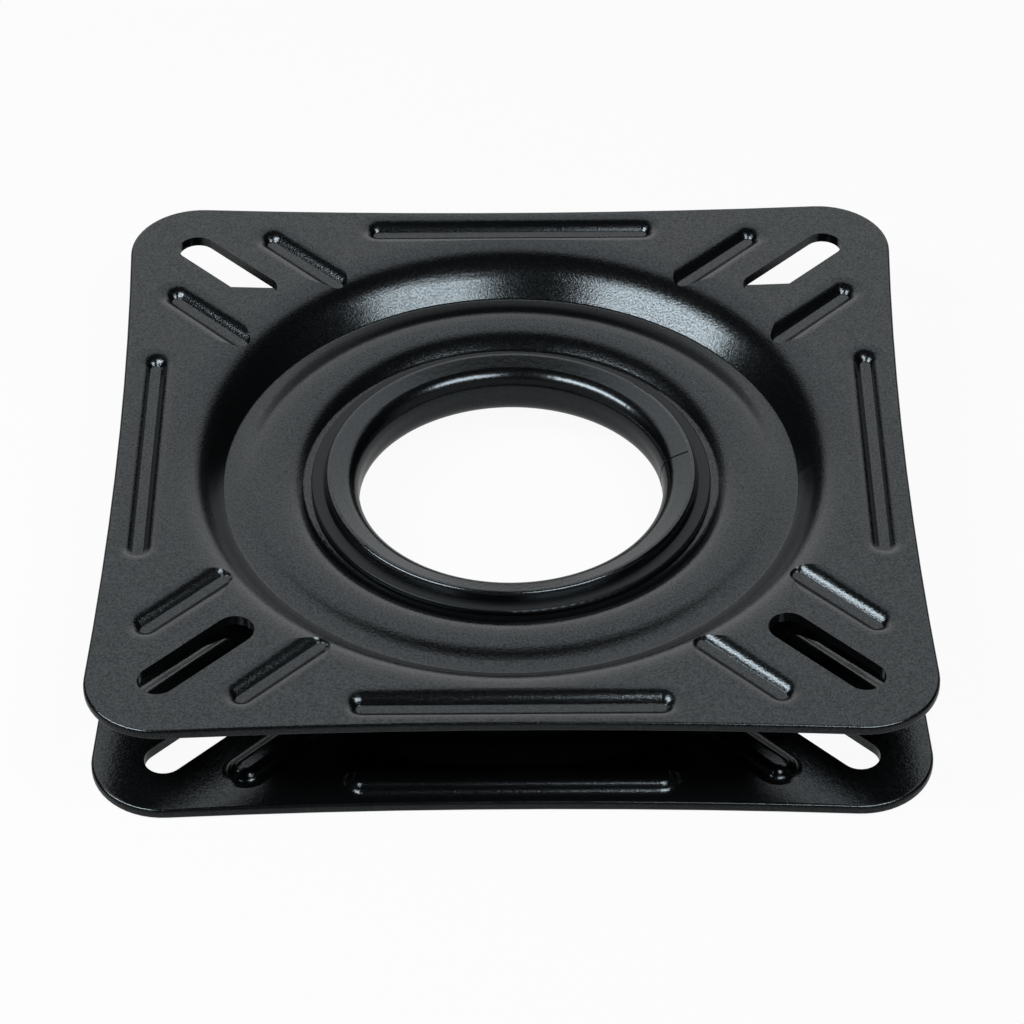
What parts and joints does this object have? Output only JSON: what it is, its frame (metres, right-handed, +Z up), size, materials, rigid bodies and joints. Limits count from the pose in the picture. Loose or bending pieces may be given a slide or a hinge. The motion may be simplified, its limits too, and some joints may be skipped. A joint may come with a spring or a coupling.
{
  "type": "swivel seat base",
  "caption": "Square pressed-steel swivel seat base: two black dished plates with diagonal bolt slots turn on a caged ball race around a flared open hub.",
  "frame": {"origin": "on the hub axis, in the plane of the bottom plate's underside", "axes": "+Z up along the hub axis, X and Y along the plate sides, with the pictured front at -Y"},
  "size_m": [0.1778, 0.1778, 0.0254],
  "materials": {
    "plate_paint": "fine-textured satin black powder coat",
    "hub_paint": "smooth semi-gloss black paint",
    "washer_plastic": "smooth black acetal",
    "cage_plastic": "matte black nylon",
    "ball_steel": "polished bearing steel"
  },
  "bodies": {
    "base": {"bottom_plate": "plate_paint", "hub": "hub_paint", "lower_washer": "washer_plastic", "upper_washer": "washer_plastic"},
    "turntable": {"top_plate": "plate_paint"},
    "ball_ring": {"ball_cage": "cage_plastic", "bearing_ball_01": "ball_steel", "bearing_ball_02": "ball_steel", "bearing_ball_03": "ball_steel", "bearing_ball_04": "ball_steel", "bearing_ball_05": "ball_steel", "bearing_ball_06": "ball_steel", "bearing_ball_07": "ball_steel", "bearing_ball_08": "ball_steel", "bearing_ball_09": "ball_steel", "bearing_ball_10": "ball_steel", "bearing_ball_11": "ball_steel", "bearing_ball_12": "ball_steel", "bearing_ball_13": "ball_steel", "bearing_ball_14": "ball_steel", "bearing_ball_15": "ball_steel", "bearing_ball_16": "ball_steel", "bearing_ball_17": "ball_steel", "bearing_ball_18": "ball_steel", "bearing_ball_19": "ball_steel", "bearing_ball_20": "ball_steel", "bearing_ball_21": "ball_steel", "bearing_ball_22": "ball_steel", "bearing_ball_23": "ball_steel", "bearing_ball_24": "ball_steel"}
  },
  "joints": [
    {"name": "swivel", "type": "hinge", "parent": "base", "child": "turntable", "pos_m": [0, 0, 0.0127], "axis": [0, 0, 1], "continuous": true},
    {"name": "cage_orbit", "type": "hinge", "parent": "base", "child": "ball_ring", "pos_m": [0, 0, 0.0127], "axis": [0, 0, 1], "continuous": true}
  ],
  "couplings": [
    {"joint": "cage_orbit", "follows": "swivel", "ratio": 0.5}
  ]
}
